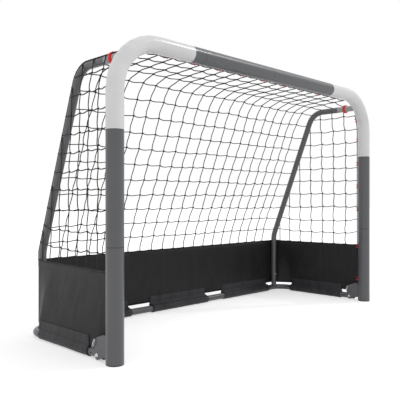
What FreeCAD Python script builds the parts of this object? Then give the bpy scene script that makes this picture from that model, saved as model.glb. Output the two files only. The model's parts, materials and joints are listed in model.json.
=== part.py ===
import FreeCAD, Part
import math
import os
import re
import Sketcher

from FreeCAD import Placement, Rotation, Vector

# A goal of steel tube for street and garden play, with a net and cloth skirts.
# Frame: X across the mouth, +Y from the mouth to the back, +Z up, floor at Z = 0,
# origin at the middle of the footprint. Lengths in millimetres, angles in degrees.

SIZES = {
    # Overall
    "goal_width": 1800,
    "goal_height": 1180,
    "base_depth": 598,
    # Front frame tube and its bends
    "post_d": 65,
    "post_wall": 2,
    "elbow_radius": 192,
    "lower_seam_z": 408,
    "upper_seam_z": 816,
    "elbow_level_run": 173.5,
    "joiner_reach": 60,
    "joiner_wall": 2,
    "tube_play": 0.25,
    "shoulder_len": 3,
    "ring_turn": 12,
    # Foot caps
    "cap_rim": 4,
    "cap_chamfer": 1.5,
    "cap_depth": 26,
    # Spigots that carry the stanchions
    "spigot_turn": 45,
    "spigot_reach": 129,
    "spigot_bore": 17,
    "plug_len": 42,
    "plug_root_d": 26.4,
    "plug_tip_d": 20,
    "lip_width": 4,
    "lip_rise": 1,
    "ring_place": 80,
    "ring_width": 10,
    "ring_rise": 7,
    # Rear frame tube and its bends
    "rail_d": 32,
    "rail_wall": 1.5,
    "neck_len": 40,
    "neck_play": 0.2,
    "corner_radius": 75,
    "corner_side_run": 8,
    "corner_back_run": 33.5,
    "back_seam_x": 215,
    "socket_top_z": 130,
    "socket_wall": 1.2,
    "leg_plug_len": 62,
    "stanchion_lean": 21.5,
    "stanchion_knee_y": 303,
    "stanchion_top_radius": 95,
    "stanchion_foot_radius": 100,
    # Hinge brackets and what they hold
    "bracket_width": 40,
    "bracket_plate": 2.5,
    "bracket_web_y": 41,
    "bracket_round": 7,
    "pivot_y": 82,
    "rail_end_y": 60,
    "bolt_d": 8,
    "bolt_head_d": 15,
    "bolt_head_rise": 5,
    "bolt_crown_d": 9,
    "bolt_tail": 1,
    "nut_flats": 13,
    "nut_height": 6.5,
    "bolt_play": 0.1,
    "bush_wall": 2,
    "store_hole_y": 124,
    "lock_y": 92,
    "lock_z": 60,
    "lock_d": 6.5,
    "lock_play": 0.3,
    "lock_head_d": 11,
    "lock_head": 2.5,
    "lock_tail": 9,
    "wire_d": 2.4,
    "wire_lean": 25,
    "wire_leg": 15,
    "wire_loop_d": 7.4,
    "wire_loop_z": 12.3,
    "wire_waist_z": 6.2,
    "wire_belly": 3.6,
    # Snap buttons
    "button_z": 104,
    "button_d": 7.6,
    "button_play": 0.3,
    "button_rise": 4,
    "button_flange_d": 10,
    "button_flange": 2,
    "leaf_wall": 0.8,
    "leaf_width": 8,
    "leaf_foot_z": 74,
    # Net
    "mesh": 75,
    "side_mesh_z": 73.5,
    "cord_width": 3,
    "cord_depth": 2.4,
    "net_gap": 0.3,
    "side_net_top_z": 1080,
    # Net clips
    "clip_base": 2.5,
    "clip_half_width": 7,
    "clip_height": 24,
    "clip_fork": 12,
    "clip_slot": 5.2,
    "clip_arm": 2,
    "clip_finger": 4,
    "clip_spread": 15,
    "crossbar_clip_turn": 32,
    # Cloth skirts and rail sleeves
    "skirt_top_z": 317,
    "skirt_hem_z": 49,
    "skirt_wall": 1.8,
    "skirt_front_gap": 3.6,
    "skirt_fold": 2.2,
    "notch_y": 106,
    "notch_top_z": 103,
    "sleeve_wall": 3.7,
    "sleeve_play": 0.3,
    "flap_top_z": 81,
    "flap_wall": 1.6,
    "side_sleeve_start_y": 146,
    "side_sleeve_gap": 15,
    "outer_sleeve_gap": 9,
    "outer_sleeve_len": 412,
    "middle_sleeve_gap": 15,
}

# Sizes that follow from the ones above, as formulas in the same sheet.
FOLLOWING = {
    "post_r": "post_d / 2",
    "rail_r": "rail_d / 2",
    "post_bore": "post_r - post_wall",
    "rail_bore": "rail_r - rail_wall",
    "post_x": "goal_width / 2 - post_r",
    "crossbar_z": "goal_height - post_r",
    "rail_z": "rail_r + sleeve_play + sleeve_wall",
    "post_y": "(post_r - rail_z - base_depth) / 2",
    "back_y": "post_y + base_depth",
    "bend_start_z": "crossbar_z - elbow_radius",
    "bend_end_x": "post_x - elbow_radius",
    "crossbar_seam_x": "bend_end_x - elbow_level_run",
    "leg_x": "bend_end_x + elbow_radius * sin(spigot_turn * 1 deg)",
    "spigot_z": "bend_start_z + elbow_radius * cos(spigot_turn * 1 deg)",
    "joiner_r": "post_bore - tube_play",
    "neck_r": "rail_bore - neck_play",
    "neck_bore": "neck_r - rail_wall",
    "corner_bend_x": "post_x - corner_radius",
    "corner_bend_y": "base_depth - corner_radius",
    "corner_seam_x": "corner_bend_x - corner_back_run",
    "corner_seam_y": "corner_bend_y - corner_side_run",
    "side_sleeve_end_y": "corner_seam_y - side_sleeve_gap",
    "outer_sleeve_outer_x": "corner_seam_x - outer_sleeve_gap",
    "outer_sleeve_inner_x": "outer_sleeve_outer_x - outer_sleeve_len",
    "middle_sleeve_x": "back_seam_x - middle_sleeve_gap",
    "leg_y": "corner_bend_y + sqrt(corner_radius ^ 2 - (leg_x - corner_bend_x) ^ 2)",
    "top_turn": "90 - stanchion_lean",
    "knee_drop": "(leg_y - stanchion_knee_y) / tan(stanchion_lean * 1 deg)",
    "wrap_r": "rail_r + net_gap + skirt_wall / 2",
    "edge_y": "post_r + skirt_front_gap",
    "edge_to_leg": "sqrt((post_x - leg_x) ^ 2 + (leg_y - edge_y) ^ 2)",
    "side_tilt": "atan((post_x - leg_x) / (leg_y - edge_y)) / 1 deg - asin(wrap_r / edge_to_leg) / 1 deg",
    "side_run": "sqrt(edge_to_leg ^ 2 - wrap_r ^ 2)",
    "net_offset": "rail_r + net_gap + cord_depth / 2",
    "net_radius": "stanchion_top_radius + net_offset",
    "net_knee_y": "stanchion_knee_y + net_offset * tan(top_turn / 2 * 1 deg)",
    "net_foot_y": "leg_y + net_offset",
    "net_foot_z": "spigot_z - knee_drop + net_offset * tan(stanchion_lean / 2 * 1 deg)",
    "net_half_width": "leg_x - rail_r - net_gap",
}

doc = FreeCAD.newDocument("goal")
sheet = doc.addObject("Spreadsheet::Sheet", "Sizes")
for row, (alias, number) in enumerate(SIZES.items(), start=1):
    sheet.set("A%d" % row, str(number))
    sheet.setAlias("A%d" % row, alias)
for row, (alias, text) in enumerate(FOLLOWING.items(), start=1):
    sheet.set("C%d" % row, "=" + text)
    sheet.setAlias("C%d" % row, alias)
doc.recompute()


def val(alias):
    """Read one size from the sheet."""
    return float(sheet.get(alias))


def formula(text):
    """Point the names of sizes in a formula at the sheet."""
    def cell(word):
        return "Sizes." + word[0] if word[0] in SIZES or word[0] in FOLLOWING else word[0]

    return re.sub(r"[a-z]\w*", cell, text)


UPRIGHT = Rotation()
ALONG_X = Rotation(Vector(0, 1, 0), 90)
ALONG_Y = Rotation(Vector(1, 0, 0), -90)


def place(item, x="0", y="0", z="0", turn=UPRIGHT):
    """Put an object at a place given by formulas."""
    item.Placement = Placement(Vector(), turn)
    for axis, text in (("x", x), ("y", y), ("z", z)):
        item.setExpression("Placement.Base." + axis, formula(text))
    return item


def new_body(label, x="0", y="0", z="0", turn=UPRIGHT):
    body = doc.addObject("PartDesign::Body", label)
    body.Label = label
    return place(body, x, y, z, turn)


def new_sketch(body, plane, name, offset="0"):
    """A sketch on one of the body's own origin planes, moved along the plane's normal."""
    sketch = body.newObject("Sketcher::SketchObject", body.Name + "_" + name)
    support = [item for item in body.Origin.OriginFeatures if item.Role == plane][0]
    sketch.AttachmentSupport = (support, [""])
    sketch.MapMode = "FlatFace"
    sketch.setExpression(".AttachmentOffset.Base.z", formula(offset))
    return sketch


def set_size(sketch, kind, *target, text):
    """Add a dimension at its present value and bind it to the sheet."""
    if kind == "Radius":
        present = sketch.Geometry[target[0]].Radius
    else:
        point = sketch.getPoint(*target)
        present = point.x if kind == "DistanceX" else point.y
    index = sketch.addConstraint(Sketcher.Constraint(kind, *target, present))
    sketch.setExpression("Constraints[%d]" % index, formula(text))


def add_circle(sketch, radius, x="0", y="0"):
    circle = sketch.addGeometry(Part.Circle(Vector(1, 1, 0), Vector(0, 0, 1), 5))
    set_size(sketch, "Radius", circle, text=radius)
    if x == "0" and y == "0":
        sketch.addConstraint(Sketcher.Constraint("Coincident", circle, 3, -1, 1))
        return
    set_size(sketch, "DistanceX", circle, 3, text=x)
    set_size(sketch, "DistanceY", circle, 3, text=y)


def add_outline(sketch, corners):
    """A closed outline whose corners are pairs of formulas."""
    count = len(corners)
    start = [Vector(20 * math.cos(2 * math.pi * i / count), 20 * math.sin(2 * math.pi * i / count), 0)
             for i in range(count)]
    lines = [sketch.addGeometry(Part.LineSegment(start[i], start[(i + 1) % count])) for i in range(count)]
    for i, line in enumerate(lines):
        sketch.addConstraint(Sketcher.Constraint("Coincident", line, 2, lines[(i + 1) % count], 1))
    for line, (x, y) in zip(lines, corners):
        set_size(sketch, "DistanceX", line, 1, text=x)
        set_size(sketch, "DistanceY", line, 1, text=y)


def pad(body, sketch, length, backwards=False, both_ways=False):
    feature = body.newObject("PartDesign::Pad", sketch.Name + "_pad")
    feature.Profile = sketch
    feature.setExpression("Length", formula(length))
    feature.Reversed = backwards
    feature.Midplane = both_ways
    sketch.Visibility = False
    return feature


def pocket(body, sketch, length, backwards=False, both_ways=False):
    """A pocket, tested to take material away."""
    doc.recompute()
    before = body.Shape.Volume
    feature = body.newObject("PartDesign::Pocket", sketch.Name + "_pocket")
    feature.Profile = sketch
    feature.setExpression("Length", formula(length))
    feature.Reversed = backwards
    feature.Midplane = both_ways
    doc.recompute()
    if body.Shape.Volume >= before:
        raise RuntimeError(sketch.Name + " cuts nothing")
    return feature


def revolve(body, sketch, axis="V_Axis"):
    feature = body.newObject("PartDesign::Revolution", sketch.Name + "_turned")
    feature.Profile = sketch
    feature.ReferenceAxis = (sketch, [axis])
    feature.Angle = 360
    return feature


def ring_sketch(body, plane, name, outer, inner):
    sketch = new_sketch(body, plane, name)
    add_circle(sketch, outer)
    add_circle(sketch, inner)
    return sketch


def mirrored(label, source):
    """The right hand piece of a pair, mirrored across the middle of the goal."""
    copy = doc.addObject("Part::Mirroring", label)
    copy.Label = label
    copy.Source = source
    copy.Normal = Vector(1, 0, 0)
    copy.Base = Vector()
    return copy


def feature_of(label, shape, at=Placement()):
    """A piece whose shape is worked out from the sheet's sizes."""
    item = doc.addObject("Part::Feature", label)
    item.Label = label
    item.Shape = shape
    item.Placement = at
    return item


def tube(label, outer, inner, length, x="0", y="0", z="0", turn=UPRIGHT):
    body = new_body(label, x, y, z, turn)
    pad(body, ring_sketch(body, "XY_Plane", "section", outer, inner), length)
    return body


def rounded_wire(points, radii):
    """Straight runs joined by tangent arcs: one radius for each inner point."""
    edges = []
    last = points[0]
    for before, corner, after, radius in zip(points, points[1:], points[2:], radii):
        back = (before - corner).normalize()
        on = (after - corner).normalize()
        half = back.getAngle(on) / 2
        reach = radius / math.tan(half)
        first = corner + back * reach
        final = corner + on * reach
        middle = (back + on).normalize()
        crown = corner + middle * (radius / math.sin(half) - radius)
        edges.append(Part.LineSegment(last, first).toShape())
        edges.append(Part.Arc(first, crown, final).toShape())
        last = final
    edges.append(Part.LineSegment(last, points[-1]).toShape())
    return Part.Wire(edges)


def bent_rod(path, normal, radius, ring_turn):
    """A round rod along a path in one plane, ruled from ring to ring, with rings at even turns in each bend."""
    rings = []
    for edge in path.Edges:
        first, last = edge.ParameterRange
        turn = 0 if edge.Curve.TypeId == "Part::GeomLine" else math.degrees(edge.Length / edge.Curve.Radius)
        steps = max(1, math.ceil(turn / ring_turn))
        for step in range(1 if rings else 0, steps + 1):
            at = first + (last - first) * step / steps
            ring = Part.Wire(Part.makeCircle(radius))
            ring.Placement = Placement(edge.valueAt(at), Rotation(normal, Vector(), edge.tangentAt(at), "ZXY"))
            rings.append(ring)
    return Part.makeLoft(rings, True, True)


def bent_tube(path, normal, outer, inner):
    turn = val("ring_turn")
    return bent_rod(path, normal, outer, turn).cut(bent_rod(path, normal, inner, turn))


def collar(start, along, outer, inner, length):
    """A straight ring of tube from a point along a direction."""
    wall = Part.makeCylinder(outer, length, start, along)
    return wall.cut(Part.makeCylinder(inner, length, start, along))


def neck(seam, outwards, outer, size, wall, reach):
    """The swaged end of a bent tube: a shoulder that reaches into its wall and a neck beyond its seam."""
    bore = size - wall
    inside = collar(seam - outwards * val("shoulder_len"), outwards, outer - wall / 2, bore, val("shoulder_len"))
    return [inside, collar(seam, outwards, size, bore, reach)]


def post_neck(seam, outwards):
    return neck(seam, outwards, val("post_r"), val("joiner_r"), val("post_wall"), val("joiner_reach"))


def rail_neck(seam, outwards, reach):
    return neck(seam, outwards, val("rail_r"), val("neck_r"), val("rail_wall"), reach)


# Front frame: posts, elbows and crossbar

def foot_cap():
    body = new_body("left_foot_cap", "-post_x", "post_y")
    sketch = new_sketch(body, "XZ_Plane", "outline")
    add_outline(sketch, [
        ("0", "0"), ("post_r - cap_chamfer", "0"), ("post_r", "cap_chamfer"), ("post_r", "cap_rim"),
        ("joiner_r", "cap_rim"), ("joiner_r", "cap_rim + cap_depth"), ("0", "cap_rim + cap_depth")])
    revolve(body, sketch)
    return body


def elbow_path():
    """The middle line of the left elbow, from the post's seam to the crossbar's."""
    foot = Vector(-val("post_x"), val("post_y"), val("upper_seam_z"))
    end = Vector(-val("crossbar_seam_x"), val("post_y"), val("crossbar_z"))
    return rounded_wire([foot, Vector(foot.x, foot.y, end.z), end], [val("elbow_radius")])


def elbow():
    """The white bend between post and crossbar, with a neck at both ends."""
    path = elbow_path()
    foot = path.Edges[0].firstVertex().Point
    end = path.Edges[-1].lastVertex().Point
    bend = bent_tube(path, Vector(0, 1, 0), val("post_r"), val("post_bore"))
    necks = post_neck(foot, Vector(0, 0, -1)) + post_neck(end, Vector(1, 0, 0))
    return feature_of("left_elbow", bend.fuse(necks).removeSplitter())


def spigot():
    """A stub tube whose mouth is cut to the round of the elbow, with a tapered plug."""
    body = new_body("spigot_blank", "-leg_x", "post_y", "spigot_z", ALONG_Y)
    sketch = new_sketch(body, "XZ_Plane", "outline")
    add_outline(sketch, [
        ("spigot_bore / 2", "0"), ("rail_r", "0"), ("rail_r", "spigot_reach - lip_width"),
        ("rail_r + lip_rise", "spigot_reach - lip_width"),
        ("rail_r + lip_rise", "spigot_reach - net_gap"), ("plug_root_d / 2", "spigot_reach - net_gap"),
        ("plug_tip_d / 2", "spigot_reach + plug_len"), ("spigot_bore / 2", "spigot_reach + plug_len")])
    revolve(body, sketch)
    outside = bent_rod(elbow_path(), Vector(0, 1, 0), val("post_r") + val("tube_play"), val("ring_turn"))
    piece = doc.addObject("Part::Cut", "left_spigot")
    piece.Label = "left_spigot"
    piece.Base = body
    piece.Tool = feature_of("elbow_outside", outside)
    return piece


def clip_solid():
    """One net clip: a saddle on the tube and two forks for the border cord, opening to the back."""
    radius = val("post_r")
    top = val("clip_height") / 2
    base = Part.makeBox(2 * val("clip_half_width"), val("clip_base") + 2, val("clip_height"),
                        Vector(-val("clip_half_width"), radius - 2, -top))
    arm = val("clip_arm")
    finger = val("clip_finger")
    arms = []
    for level in (-1, 1):
        for side in (-1, 1):
            inner = side * val("clip_slot") / 2
            low = level * val("clip_spread") / 2 - finger / 2
            corner = Vector(min(inner, inner + side * arm), radius + val("clip_base") - 0.5, low)
            arms.append(Part.makeBox(arm, val("clip_fork") + 0.5, finger, corner))
    seat = Part.makeCylinder(radius + val("tube_play"), 2 * top + 2, Vector(0, 0, -top - 1))
    return base.fuse(arms).removeSplitter().cut(seat)


POST_CLIP_HEIGHTS = (123, 308, 520, 650, 780, 915)
ELBOW_CLIP_TURNS = (22, 80)


def post_clips():
    """Clips up the back of both posts and round the elbows."""
    solids = []
    clip = clip_solid()
    for side in (-1, 1):
        for height in POST_CLIP_HEIGHTS:
            at = Placement(Vector(side * val("post_x"), val("post_y"), height), Rotation())
            solids.append(clip.transformed(at.toMatrix()))
        for turn in ELBOW_CLIP_TURNS:
            angle = math.radians(turn)
            x = side * (val("bend_end_x") + val("elbow_radius") * math.cos(angle))
            z = val("bend_start_z") + val("elbow_radius") * math.sin(angle)
            at = Placement(Vector(x, val("post_y"), z), Rotation(Vector(0, 1, 0), -side * turn))
            solids.append(clip.transformed(at.toMatrix()))
    return feature_of("post_net_clips", Part.makeCompound(solids))


def crossbar_clips():
    """Clips under the back of the crossbar, between the net's columns."""
    tilt = Rotation(Vector(1, 0, 0), -val("crossbar_clip_turn")).multiply(ALONG_X)
    clip = clip_solid()
    reach = int(val("bend_end_x") // (2 * val("mesh")))
    solids = []
    for step in range(-reach, reach + 1):
        at = Placement(Vector(step * 2 * val("mesh"), val("post_y"), val("crossbar_z")), tilt)
        solids.append(clip.transformed(at.toMatrix()))
    return feature_of("crossbar_net_clips", Part.makeCompound(solids))


# Hinges at the foot of the posts

def hinge_bracket():
    """A channel of pressed plate that clasps the back of the post and takes the rail between its cheeks."""
    body = new_body("left_hinge_bracket", "-post_x", "post_y")
    cheek = new_sketch(body, "YZ_Plane", "cheek")
    add_outline(cheek, [
        ("post_r - 9", "20"), ("43", "17"), ("62", "9"), ("76", "4"), ("88", "5"), ("93", "18"),
        ("97", "44"), ("100", "64"), ("95", "73"), ("83", "83"), ("43", "98.5"), ("post_r - 9", "97")])
    blank = pad(body, cheek, "bracket_width", both_ways=True)
    doc.recompute()
    edges = ["Edge%d" % (i + 1) for i, edge in enumerate(blank.Shape.Edges)
             if abs(edge.BoundBox.XLength - val("bracket_width")) < 0.01
             and edge.CenterOfMass.y > val("pivot_y") + 1]
    rounds = body.newObject("PartDesign::Fillet", "bracket_rounds")
    rounds.Base = (blank, edges)
    rounds.setExpression("Radius", formula("bracket_round / 2"))
    saddle = new_sketch(body, "XY_Plane", "saddle")
    add_circle(saddle, "post_r + tube_play")
    pocket(body, saddle, "lock_z * 2", backwards=True)
    channel = new_sketch(body, "XY_Plane", "channel")
    half = "bracket_width / 2 - bracket_plate"
    add_outline(channel, [("-(%s)" % half, "bracket_web_y"), (half, "bracket_web_y"),
                          (half, "bracket_web_y * 3"), ("-(%s)" % half, "bracket_web_y * 3")])
    pocket(body, channel, "lock_z * 2", backwards=True)
    holes = new_sketch(body, "YZ_Plane", "holes")
    add_circle(holes, "bolt_d / 2 + bolt_play", "pivot_y", "rail_z")
    add_circle(holes, "lock_d / 2 + lock_play", "lock_y", "lock_z")
    pocket(body, holes, "bracket_width * 2", both_ways=True)
    return body


def hinge_bolt(side, x):
    """A bolt across the cheeks, its domed head on the -X side."""
    body = new_body(side + "_hinge_bolt", x, "post_y + pivot_y", "rail_z", ALONG_X)
    sketch = new_sketch(body, "XZ_Plane", "outline")
    face = "bracket_width / 2"
    tail = face + " + nut_height + bolt_tail"
    add_outline(sketch, [
        ("0", "-(%s + bolt_head_rise)" % face), ("bolt_crown_d / 2", "-(%s + bolt_head_rise)" % face),
        ("bolt_head_d / 2", "-(%s)" % face), ("bolt_d / 2", "-(%s)" % face), ("bolt_d / 2", tail), ("0", tail)])
    revolve(body, sketch)
    return body


def hinge_nut(side, x):
    body = new_body(side + "_hinge_nut", x + " + bracket_width / 2", "post_y + pivot_y", "rail_z", ALONG_X)
    sketch = new_sketch(body, "XY_Plane", "hexagon")
    corner = "nut_flats / 2 / cos(30 deg)"
    add_outline(sketch, [("%s * cos(%d deg)" % (corner, turn), "%s * sin(%d deg)" % (corner, turn))
                         for turn in range(0, 360, 60)])
    add_circle(sketch, "bolt_d / 2 + bolt_play")
    pad(body, sketch, "nut_height")
    return body


def rail_bushes():
    """The bush through the rail, from cheek to cheek, that turns on the bolt."""
    body = new_body("left_rail_bushes", "-post_x", "post_y + pivot_y", "rail_z", ALONG_X)
    bore = "bolt_d / 2 + bolt_play"
    section = ring_sketch(body, "XY_Plane", "section", bore + " + bush_wall", bore)
    pad(body, section, "bracket_width - 2 * (bracket_plate + bolt_play)", both_ways=True)
    return body


def lock_pin(side, x):
    """The pin above the rail: a head on the +X side and a cross hole in its tail for the spring clip."""
    along_wire = Rotation(Vector(1, 0, 0), 90 + val("wire_lean")).multiply(ALONG_X)
    body = new_body(side + "_lock_pin", x, "post_y + lock_y", "lock_z", along_wire)
    sketch = new_sketch(body, "XZ_Plane", "outline")
    face = "bracket_width / 2"
    add_outline(sketch, [
        ("0", "-(%s + lock_tail)" % face), ("lock_d / 2", "-(%s + lock_tail)" % face),
        ("lock_d / 2", face + " + lock_play"),
        ("lock_head_d / 2", face + " + lock_play"), ("lock_head_d / 2", face + " + lock_play + lock_head"),
        ("0", face + " + lock_play + lock_head")])
    revolve(body, sketch)
    hole = new_sketch(body, "XZ_Plane", "cross_hole")
    add_circle(hole, "wire_d / 2 + bolt_play", "0", "-(%s + lock_tail / 2)" % face)
    pocket(body, hole, "lock_d * 2", both_ways=True)
    return body


def pin_clip(side, centre_x):
    """A wire spring clip: one straight leg through the pin, one waved leg round the outside of it."""
    leg = val("wire_leg")
    waist = val("lock_d") / 2 + val("wire_d") / 2 + val("lock_play")
    belly = waist + val("wire_belly")
    loop_y = val("wire_loop_d")
    loop_z = val("wire_loop_z")
    waist_z = val("wire_waist_z")
    points = [Vector(0, 0, -leg), Vector(0, 0, loop_z + loop_y / 2), Vector(0, loop_y, loop_z + loop_y / 2),
              Vector(0, loop_y, loop_z - loop_y / 4), Vector(0, waist, waist_z), Vector(0, belly, 0),
              Vector(0, waist, -waist_z), Vector(0, loop_y, -leg)]
    bend = loop_y / 2.2
    path = rounded_wire(points, [bend, bend, bend / 2, bend / 2, bend, bend / 2])
    solid = bent_rod(path, Vector(1, 0, 0), val("wire_d") / 2, 2 * val("ring_turn"))
    turn = Rotation(Vector(1, 0, 0), val("wire_lean"))
    at = Vector(centre_x - val("bracket_width") / 2 - val("lock_tail") / 2,
                val("post_y") + val("lock_y"), val("lock_z"))
    return feature_of(side + "_pin_clip", solid, Placement(at, turn))


# Rear frame: rails, corners and stanchions

def side_rail():
    body = new_body("left_side_rail", "-post_x", "post_y + rail_end_y", "rail_z", ALONG_Y)
    length = "corner_seam_y - rail_end_y"
    pad(body, ring_sketch(body, "XY_Plane", "section", "rail_r", "rail_bore"), length)
    holes = new_sketch(body, "YZ_Plane", "holes")
    add_circle(holes, "bolt_d / 2 + bolt_play * 2 + bush_wall", "0", "pivot_y - rail_end_y")
    add_circle(holes, "lock_d / 2 + lock_play", "0", "store_hole_y - rail_end_y")
    pocket(body, holes, "rail_d * 2", both_ways=True)
    return body


def corner():
    """The rear corner: a quarter bend with the welded socket that takes the stanchion's leg."""
    level = val("rail_z")
    start = Vector(-val("post_x"), val("corner_seam_y"), level)
    end = Vector(-val("corner_seam_x"), val("base_depth"), level)
    path = rounded_wire([start, Vector(start.x, end.y, level), end], [val("corner_radius")])
    up = Vector(0, 0, 1)
    hub = Vector(-val("leg_x"), val("leg_y"), level)
    stub = Part.makeCylinder(val("rail_bore") + val("socket_wall"), val("socket_top_z") - level, hub, up)
    outside = bent_rod(path, up, val("rail_r"), val("ring_turn")).fuse(stub)
    floor = val("rail_r") + val("rail_wall")
    well = Part.makeCylinder(val("rail_bore"), val("socket_top_z") - level - floor, hub + up * floor, up)
    bore = bent_rod(path, up, val("rail_bore"), val("ring_turn"))
    bend = outside.cut([bore, well, button_hole()])
    necks = rail_neck(start, Vector(0, -1, 0), val("neck_len")) + rail_neck(end, Vector(1, 0, 0), val("neck_len"))
    solid = bend.fuse(necks).removeSplitter()
    return feature_of("left_corner", solid, Placement(Vector(0, val("post_y"), 0), Rotation()))


def button_hole():
    """The round that the snap button passes, from inside the leg to the front."""
    hub = Vector(-val("leg_x"), val("leg_y"), val("button_z"))
    return Part.makeCylinder(val("button_d") / 2 + val("button_play"), val("rail_d"), hub, Vector(0, -1, 0))


def stanchion():
    """The bent upright: level off the spigot, down the slope and upright into the corner's socket."""
    x = -val("leg_x")
    top = val("spigot_z")
    end = Vector(x, val("leg_y"), val("socket_top_z"))
    points = [Vector(x, val("spigot_reach"), top), Vector(x, val("stanchion_knee_y"), top),
              Vector(x, val("leg_y"), top - val("knee_drop")), end]
    path = rounded_wire(points, [val("stanchion_top_radius"), val("stanchion_foot_radius")])
    pole = bent_tube(path, Vector(1, 0, 0), val("rail_r"), val("rail_bore"))
    plug = rail_neck(end, Vector(0, 0, -1), val("leg_plug_len"))
    solid = pole.fuse(plug).cut(button_hole()).removeSplitter()
    return feature_of("left_stanchion", solid, Placement(Vector(0, val("post_y"), 0), Rotation()))


def snap_button():
    """A domed button held behind the leg's wall by its flange."""
    body = new_body("left_snap_button", "-leg_x", "post_y + leg_y", "button_z", ALONG_Y)
    sketch = new_sketch(body, "XZ_Plane", "outline")
    front = "sqrt(neck_bore ^ 2 - (button_flange_d / 2) ^ 2) - net_gap / 2"
    tip = "rail_r + button_rise"
    add_outline(sketch, [
        ("0", "-(%s)" % tip), ("button_d / 4", "-(%s)" % tip),
        ("button_d / 2", "-(%s - button_d / 4)" % tip), ("button_d / 2", "-(%s)" % front),
        ("button_flange_d / 2", "-(%s)" % front), ("button_flange_d / 2", "-(%s - button_flange)" % front),
        ("0", "-(%s - button_flange)" % front)])
    revolve(body, sketch)
    return body


def leaf_spring():
    """A bent leaf inside the leg that pushes the button out."""
    wall = val("leaf_wall")
    bore = val("neck_bore")
    half = val("leaf_width") / 2
    front = math.sqrt(bore ** 2 - (val("button_flange_d") / 2) ** 2) - val("button_flange") - 2 * val("net_gap")
    back = math.sqrt(bore ** 2 - half ** 2) - val("net_gap") - wall
    top = val("button_z") + val("button_flange_d") / 2
    foot = val("leaf_foot_z")
    bend = (back + front) / 4

    def strip(grow):
        points = [Vector(0, -front + wall - grow, top), Vector(0, -front + wall - grow, foot + grow - wall),
                  Vector(0, back + grow, foot + grow - wall), Vector(0, back + grow, top)]
        points[1].z = points[2].z = foot + wall - grow
        return rounded_wire(points, [bend + grow, bend + grow])

    inner = strip(0)
    outer = strip(wall)
    caps = [Part.LineSegment(inner.Edges[i].Vertexes[j].Point, outer.Edges[i].Vertexes[j].Point).toShape()
            for i, j in ((0, 0), (-1, 1))]
    face = Part.Face(Part.Wire(Part.__sortEdges__(inner.Edges + outer.Edges + caps)))
    solid = face.extrude(Vector(2 * half, 0, 0))
    at = Vector(-val("leg_x") - half, val("post_y") + val("leg_y"), 0)
    return feature_of("left_button_spring", solid, Placement(at, Rotation()))


# Net panels

def stations(start, step, end):
    """Evenly spaced places from start, with the remainder in the last gap."""
    places = [start]
    while places[-1] + step * 1.3 < end:
        places.append(places[-1] + step)
    return places + [end]


def column_places():
    """Places of the columns across the net, symmetric about the middle."""
    half = val("net_half_width")
    inner = stations(val("mesh") / 2, val("mesh"), half)
    return [-x for x in reversed(inner)] + inner


def holed_panel(columns, rows):
    """A flat net in the XY plane: one face with a hole for each gap, given its cord's depth."""
    width = val("cord_width") / 2
    outline = Part.makePolygon([Vector(columns[0] - width, rows[0] - width, 0),
                                Vector(columns[-1] + width, rows[0] - width, 0),
                                Vector(columns[-1] + width, rows[-1] + width, 0),
                                Vector(columns[0] - width, rows[-1] + width, 0),
                                Vector(columns[0] - width, rows[0] - width, 0)])
    holes = []
    for left, right in zip(columns, columns[1:]):
        for low, high in zip(rows, rows[1:]):
            corners = [Vector(left + width, low + width, 0), Vector(right - width, low + width, 0),
                       Vector(right - width, high - width, 0), Vector(left + width, high - width, 0)]
            holes.append(Part.makePolygon(corners + corners[:1]))
    depth = val("cord_depth")
    sheet_face = Part.makeFace([outline] + holes, "Part::FaceMakerBullseye")
    sheet_face.translate(Vector(0, 0, -depth / 2))
    return sheet_face.extrude(Vector(0, 0, depth))


def slope_frame():
    """Foot of the net's slope, its direction and its length to the knee, in the YZ plane."""
    foot = Vector(0, val("net_foot_y"), val("net_foot_z"))
    knee = Vector(0, val("net_knee_y"), val("spigot_z") + val("net_offset"))
    return foot, (knee - foot).normalize(), foot.distanceToPoint(knee)


def bend_rows():
    """Rows of the net on the slope, and the first row on the level top."""
    foot, along, length = slope_frame()
    tangent = val("net_radius") * math.tan(math.radians(val("top_turn") / 2))
    arc = val("net_radius") * math.radians(val("top_turn"))
    flat = length - tangent
    last_row = math.floor((flat - val("cord_width")) / val("mesh"))
    steps = math.ceil((flat + arc - last_row * val("mesh")) / val("mesh"))
    return last_row, steps, flat, arc, tangent


def back_net():
    """The sloping back, from the skirt to just under the bend, with a short upright strip at its foot."""
    last_row = bend_rows()[0]
    foot, along, length = slope_frame()
    columns = column_places()
    slope = holed_panel(columns, [row * val("mesh") for row in range(last_row + 1)])
    turn = Rotation(Vector(1, 0, 0), math.degrees(math.atan2(along.z, along.y)))
    slope.Placement = Placement(foot, turn)
    low = val("skirt_top_z") + val("net_gap") + val("cord_width") / 2
    strip = holed_panel(columns, [low, foot.z])
    strip.Placement = Placement(Vector(0, foot.y, 0), Rotation(Vector(1, 0, 0), 90))
    net = slope.fuse(strip).removeSplitter()
    return feature_of("back_net", net, Placement(Vector(0, val("post_y"), 0), Rotation()))


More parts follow.
